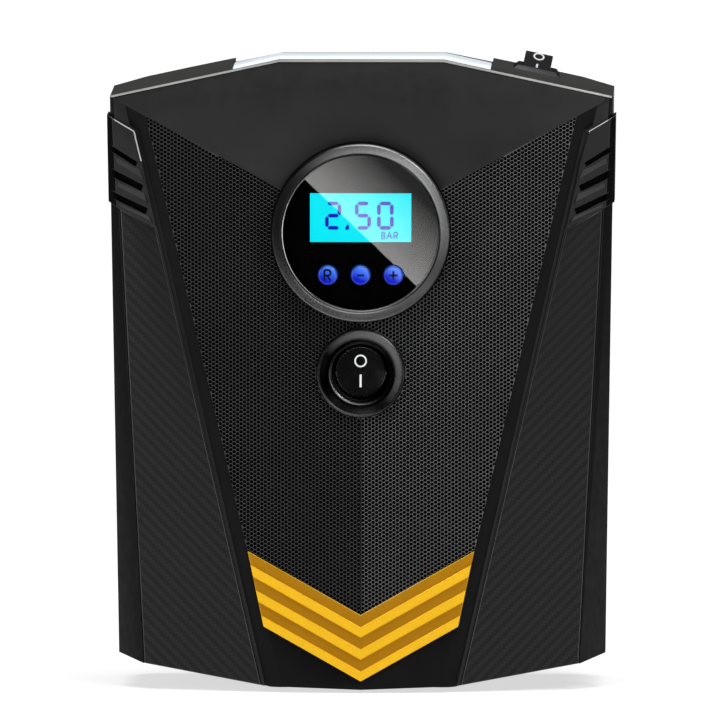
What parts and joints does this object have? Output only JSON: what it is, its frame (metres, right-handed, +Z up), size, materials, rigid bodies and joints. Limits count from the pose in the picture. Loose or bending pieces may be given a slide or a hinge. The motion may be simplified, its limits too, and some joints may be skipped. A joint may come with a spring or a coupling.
{
  "type": "tyre inflator",
  "caption": "Portable 12 V tyre inflator with a faceted case, round digital gauge, push buttons, rocker switches, work light and an inner piston pump.",
  "frame": {"origin": "on the ground under the middle of the object's box", "axes": "+Z up, the gauge and switch face -Y, +X to the right seen from the front"},
  "size_m": [0.152, 0.0788, 0.191],
  "materials": {
    "shell_plastic": "fine spark-eroded texture, near black",
    "panel_plastic": "satin near-black moulding",
    "mesh_black": "honeycomb grille, satin black",
    "carbon_panel": "moulded twill weave, satin",
    "grip_rubber": "matt overmoulded rubber",
    "silver_trim": "bright silver line",
    "gold_trim": "satin gold paint",
    "lens_white": "opal diffuser",
    "circuit_board": "green solder mask",
    "led_white": "white LED packages",
    "switch_black": "polished black nylon",
    "terminal_tin": "tinned brass blades",
    "gauge_ring": "dark anodised, turned",
    "gauge_glass": "polished cover window",
    "mask_black": "gloss black mask",
    "lcd_cyan": "backlit cyan display",
    "button_blue": "lit blue caps with dark marks",
    "housing_black": "moulded black",
    "steel": "zinc plated",
    "hardened_steel": "ground",
    "aluminium_cast": "die cast, bead blasted",
    "brass": "turned brass",
    "nylon_gear": "natural nylon",
    "ferrite": "sintered ferrite",
    "carbon_brush": "pressed graphite",
    "bronze_bush": "sintered bronze",
    "seal_black": "nitrile",
    "hose_rubber": "braided hose, black"
  },
  "bodies": {
    "housing": {"front_shell": "shell_plastic", "rear_shell": "shell_plastic", "front_panel": "panel_plastic", "mesh_right": "mesh_black", "mesh_left": "mesh_black", "chevron_trim": "gold_trim", "side_panel_right": "carbon_panel", "side_panel_left": "carbon_panel", "grip_right": "grip_rubber", "grip_left": "grip_rubber", "top_trim": "silver_trim", "light_bezel": "housing_black", "light_lens": "lens_white", "light_board": "circuit_board", "light_leds": "led_white", "gauge_bezel": "gauge_ring", "gauge_housing": "housing_black", "gauge_lens": "gauge_glass", "gauge_mask": "mask_black", "lcd_module": "lcd_cyan", "gauge_board": "circuit_board", "tact_switches": "housing_black", "switch_collar": "gauge_ring", "main_switch_body": "switch_black", "main_switch_terminals": "terminal_tin", "light_switch_body": "switch_black", "light_switch_terminals": "terminal_tin", "feet": "grip_rubber", "case_screws": "steel", "cord_gland": "seal_black", "outlet_fitting": "brass", "motor_can": "steel", "motor_end_cap": "housing_black", "motor_bushes": "bronze_bush", "motor_magnets": "ferrite", "motor_brushes": "carbon_brush", "gear_axle": "hardened_steel", "cylinder": "aluminium_cast", "cylinder_head": "aluminium_cast", "head_screws": "steel", "valve_spring": "steel", "gear_frame": "steel", "pump_mounts": "seal_black", "motor_screws": "steel", "air_hose": "hose_rubber"},
    "reset_button": {"button_reset": "button_blue"},
    "minus_button": {"button_minus": "button_blue"},
    "plus_button": {"button_plus": "button_blue"},
    "main_rocker": {"main_switch_rocker": "switch_black"},
    "light_rocker": {"light_switch_rocker": "switch_black"},
    "rotor": {"motor_rotor": "hardened_steel", "motor_pinion": "brass"},
    "gear": {"drive_gear": "nylon_gear", "counterweight": "steel"},
    "piston": {"connecting_rod": "aluminium_cast", "crank_bearing": "hardened_steel", "crank_pin": "hardened_steel", "piston_seal": "seal_black"},
    "valve": {"valve_poppet": "brass"}
  },
  "joints": [
    {"name": "reset_press", "type": "slide", "parent": "housing", "child": "reset_button", "axis": [0, 1, 0], "range_m": [0, 0.0006], "stiffness_N_per_m": 500},
    {"name": "minus_press", "type": "slide", "parent": "housing", "child": "minus_button", "axis": [0, 1, 0], "range_m": [0, 0.0006], "stiffness_N_per_m": 500},
    {"name": "plus_press", "type": "slide", "parent": "housing", "child": "plus_button", "axis": [0, 1, 0], "range_m": [0, 0.0006], "stiffness_N_per_m": 500},
    {"name": "main_switch_rock", "type": "hinge", "parent": "housing", "child": "main_rocker", "pos_m": [0, -0.0325, 0.09625], "axis": [1, 0, 0], "range_deg": [0, 16]},
    {"name": "light_switch_rock", "type": "hinge", "parent": "housing", "child": "light_rocker", "pos_m": [0.05199, 0.02, 0.18441], "axis": [0.9773, 0, -0.2118], "range_deg": [-28, 0]},
    {"name": "gear_spin", "type": "hinge", "parent": "housing", "child": "gear", "pos_m": [0, 0.012, 0.0604], "axis": [1, 0, 0], "continuous": true},
    {"name": "rotor_spin", "type": "hinge", "parent": "housing", "child": "rotor", "pos_m": [0, 0.012, 0.034], "axis": [1, 0, 0], "continuous": true},
    {"name": "piston_stroke", "type": "slide", "parent": "housing", "child": "piston", "axis": [0, 0, 1], "range_m": [-0.013, 0]},
    {"name": "valve_lift", "type": "slide", "parent": "housing", "child": "valve", "axis": [0, 0, 1], "range_m": [0, 0.0012], "stiffness_N_per_m": 150, "springref_m": -0.001, "deforming": ["valve_spring"]}
  ],
  "couplings": [
    {"joint": "gear_spin", "follows": "rotor_spin", "ratio": -0.22222}
  ]
}
